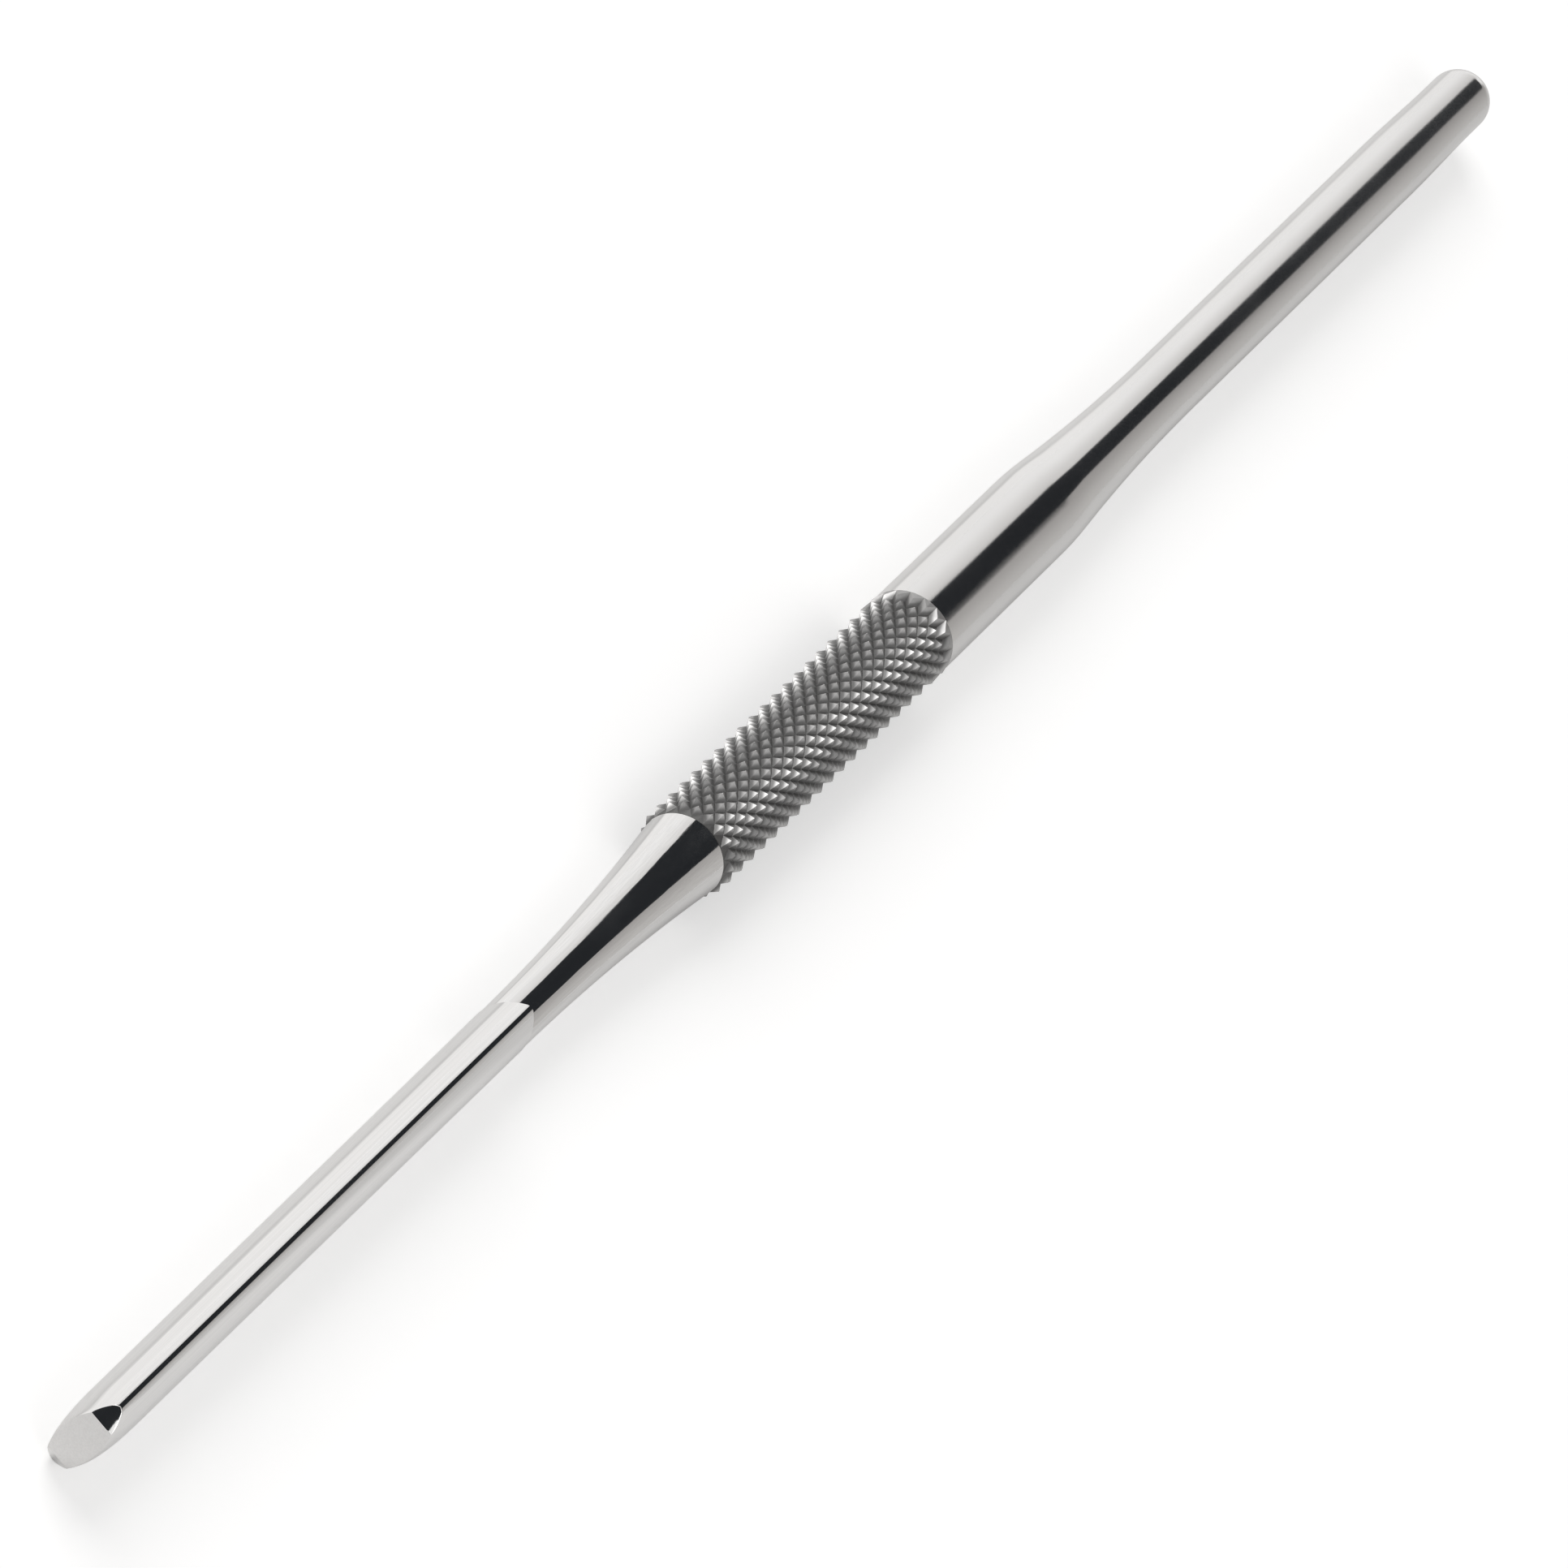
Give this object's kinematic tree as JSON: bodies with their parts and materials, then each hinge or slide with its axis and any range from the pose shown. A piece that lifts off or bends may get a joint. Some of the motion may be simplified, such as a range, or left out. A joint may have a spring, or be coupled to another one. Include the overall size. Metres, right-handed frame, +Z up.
{
  "type": "cement spatula",
  "caption": "Slim hand tool for mixing and placing paste: flat lens-section blade with a squared tip, knurled round grip and a plain tapered tail.",
  "frame": {"origin": "centre of the bounding box at its base, below the middle of the tool's length", "axes": "+X along the tool from the blade's tip to the handle's tail, +Z up with the blade standing on edge, +Y through the blade's thickness"},
  "size_m": [0.173, 0.0056, 0.0056],
  "materials": {
    "polished_blade": "polished",
    "satin_handle": "satin"
  },
  "bodies": {
    "root": {"blade_and_neck": "polished_blade", "knurled_handle": "satin_handle"}
  },
  "joints": []
}
